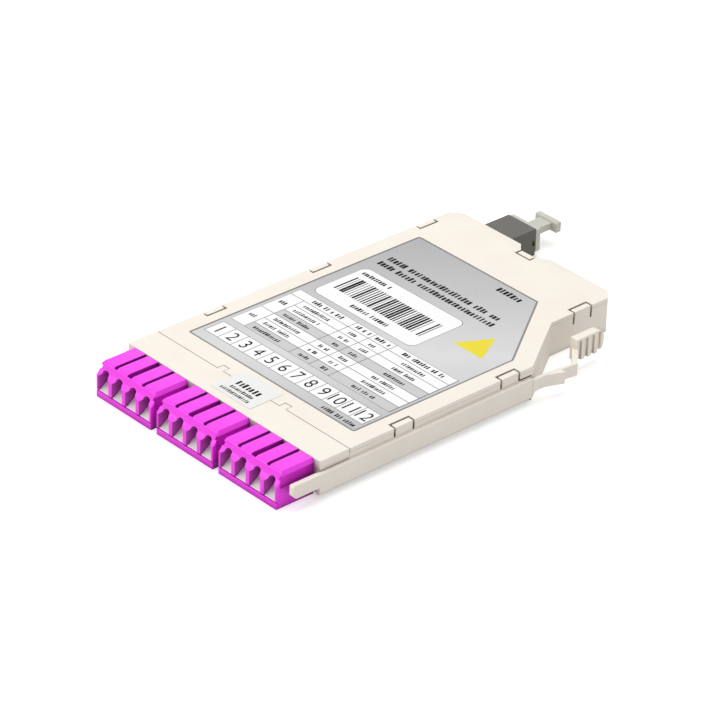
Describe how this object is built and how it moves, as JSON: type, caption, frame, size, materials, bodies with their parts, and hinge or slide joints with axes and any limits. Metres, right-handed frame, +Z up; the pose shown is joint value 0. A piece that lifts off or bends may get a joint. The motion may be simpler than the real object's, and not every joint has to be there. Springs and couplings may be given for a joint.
{
  "type": "fibre optic cassette",
  "caption": "Flat cream fibre cassette with magenta shuttered front ports, a labelled clip-on cover, a ribbed squeeze latch and a capped multi-fibre port behind.",
  "frame": {"origin": "centre of the housing's flat underside, halfway between its front and rear walls", "axes": "+X to the right seen from the ports, +Y from the ports to the rear port, +Z up through the labelled cover"},
  "size_m": [0.0904, 0.1711, 0.0118],
  "materials": {
    "shell_plastic": "satin",
    "adapter_plastic": "satin",
    "shutter_metal": "satin",
    "ceramic": "polished",
    "dark_plastic": "matte",
    "cap_plastic": "matte",
    "plug_plastic": "satin",
    "lead_jacket": "satin",
    "label_film": "matte"
  },
  "bodies": {
    "housing": {"base_shell": "shell_plastic", "front_frame": "shell_plastic", "top_cover": "shell_plastic", "port_label": "label_film", "seal_sticker": "label_film", "lc_adapter_left": "adapter_plastic", "lc_adapter_middle": "adapter_plastic", "lc_adapter_right": "adapter_plastic", "sleeve_holders_left": "adapter_plastic", "sleeve_holders_middle": "adapter_plastic", "sleeve_holders_right": "adapter_plastic", "fibre_leads_left": "lead_jacket", "fibre_leads_middle": "lead_jacket", "fibre_leads_right": "lead_jacket", "alignment_sleeve_01": "ceramic", "alignment_sleeve_02": "ceramic", "alignment_sleeve_03": "ceramic", "alignment_sleeve_04": "ceramic", "alignment_sleeve_05": "ceramic", "alignment_sleeve_06": "ceramic", "alignment_sleeve_07": "ceramic", "alignment_sleeve_08": "ceramic", "alignment_sleeve_09": "ceramic", "alignment_sleeve_10": "ceramic", "alignment_sleeve_11": "ceramic", "alignment_sleeve_12": "ceramic", "inner_plug_01": "plug_plastic", "inner_plug_02": "plug_plastic", "inner_plug_03": "plug_plastic", "inner_plug_04": "plug_plastic", "inner_plug_05": "plug_plastic", "inner_plug_06": "plug_plastic", "inner_plug_07": "plug_plastic", "inner_plug_08": "plug_plastic", "inner_plug_09": "plug_plastic", "inner_plug_10": "plug_plastic", "inner_plug_11": "plug_plastic", "inner_plug_12": "plug_plastic", "fanout_block": "dark_plastic", "ribbon_fibre": "lead_jacket", "mpo_adapter": "dark_plastic", "mpo_inner_plug": "plug_plastic"},
    "shutter_01": {"port_shutter_01": "shutter_metal"},
    "shutter_02": {"port_shutter_02": "shutter_metal"},
    "shutter_03": {"port_shutter_03": "shutter_metal"},
    "shutter_04": {"port_shutter_04": "shutter_metal"},
    "shutter_05": {"port_shutter_05": "shutter_metal"},
    "shutter_06": {"port_shutter_06": "shutter_metal"},
    "shutter_07": {"port_shutter_07": "shutter_metal"},
    "shutter_08": {"port_shutter_08": "shutter_metal"},
    "shutter_09": {"port_shutter_09": "shutter_metal"},
    "shutter_10": {"port_shutter_10": "shutter_metal"},
    "shutter_11": {"port_shutter_11": "shutter_metal"},
    "shutter_12": {"port_shutter_12": "shutter_metal"},
    "dust_cap": {"mpo_dust_cap": "cap_plastic"},
    "latch": {"release_latch": "shell_plastic"}
  },
  "joints": [
    {"name": "shutter_01_swing", "type": "hinge", "parent": "housing", "child": "shutter_01", "pos_m": [-0.03698, -0.0799, 0.00235], "axis": [1, 0, 0], "range_deg": [-34, 0], "stiffness_Nm_per_rad": 0.0001, "springref_deg": 17.19},
    {"name": "shutter_02_swing", "type": "hinge", "parent": "housing", "child": "shutter_02", "pos_m": [-0.03072, -0.0799, 0.00235], "axis": [1, 0, 0], "range_deg": [-34, 0], "stiffness_Nm_per_rad": 0.0001, "springref_deg": 17.19},
    {"name": "shutter_03_swing", "type": "hinge", "parent": "housing", "child": "shutter_03", "pos_m": [-0.02448, -0.0799, 0.00235], "axis": [1, 0, 0], "range_deg": [-34, 0], "stiffness_Nm_per_rad": 0.0001, "springref_deg": 17.19},
    {"name": "shutter_04_swing", "type": "hinge", "parent": "housing", "child": "shutter_04", "pos_m": [-0.01823, -0.0799, 0.00235], "axis": [1, 0, 0], "range_deg": [-34, 0], "stiffness_Nm_per_rad": 0.0001, "springref_deg": 17.19},
    {"name": "shutter_05_swing", "type": "hinge", "parent": "housing", "child": "shutter_05", "pos_m": [-0.00937, -0.0799, 0.00235], "axis": [1, 0, 0], "range_deg": [-34, 0], "stiffness_Nm_per_rad": 0.0001, "springref_deg": 17.19},
    {"name": "shutter_06_swing", "type": "hinge", "parent": "housing", "child": "shutter_06", "pos_m": [-0.00313, -0.0799, 0.00235], "axis": [1, 0, 0], "range_deg": [-34, 0], "stiffness_Nm_per_rad": 0.0001, "springref_deg": 17.19},
    {"name": "shutter_07_swing", "type": "hinge", "parent": "housing", "child": "shutter_07", "pos_m": [0.00313, -0.0799, 0.00235], "axis": [1, 0, 0], "range_deg": [-34, 0], "stiffness_Nm_per_rad": 0.0001, "springref_deg": 17.19},
    {"name": "shutter_08_swing", "type": "hinge", "parent": "housing", "child": "shutter_08", "pos_m": [0.00937, -0.0799, 0.00235], "axis": [1, 0, 0], "range_deg": [-34, 0], "stiffness_Nm_per_rad": 0.0001, "springref_deg": 17.19},
    {"name": "shutter_09_swing", "type": "hinge", "parent": "housing", "child": "shutter_09", "pos_m": [0.01823, -0.0799, 0.00235], "axis": [1, 0, 0], "range_deg": [-34, 0], "stiffness_Nm_per_rad": 0.0001, "springref_deg": 17.19},
    {"name": "shutter_10_swing", "type": "hinge", "parent": "housing", "child": "shutter_10", "pos_m": [0.02448, -0.0799, 0.00235], "axis": [1, 0, 0], "range_deg": [-34, 0], "stiffness_Nm_per_rad": 0.0001, "springref_deg": 17.19},
    {"name": "shutter_11_swing", "type": "hinge", "parent": "housing", "child": "shutter_11", "pos_m": [0.03072, -0.0799, 0.00235], "axis": [1, 0, 0], "range_deg": [-34, 0], "stiffness_Nm_per_rad": 0.0001, "springref_deg": 17.19},
    {"name": "shutter_12_swing", "type": "hinge", "parent": "housing", "child": "shutter_12", "pos_m": [0.03698, -0.0799, 0.00235], "axis": [1, 0, 0], "range_deg": [-34, 0], "stiffness_Nm_per_rad": 0.0001, "springref_deg": 17.19},
    {"name": "dust_cap_pull", "type": "slide", "parent": "housing", "child": "dust_cap", "axis": [0, 1, 0], "range_m": [0, 0.012]},
    {"name": "latch_squeeze", "type": "hinge", "parent": "housing", "child": "latch", "pos_m": [0.0435, 0.01635, 0.0058], "axis": [0, 0, 1], "range_deg": [0, 11], "stiffness_Nm_per_rad": 0.02, "springref_deg": -2.86}
  ]
}
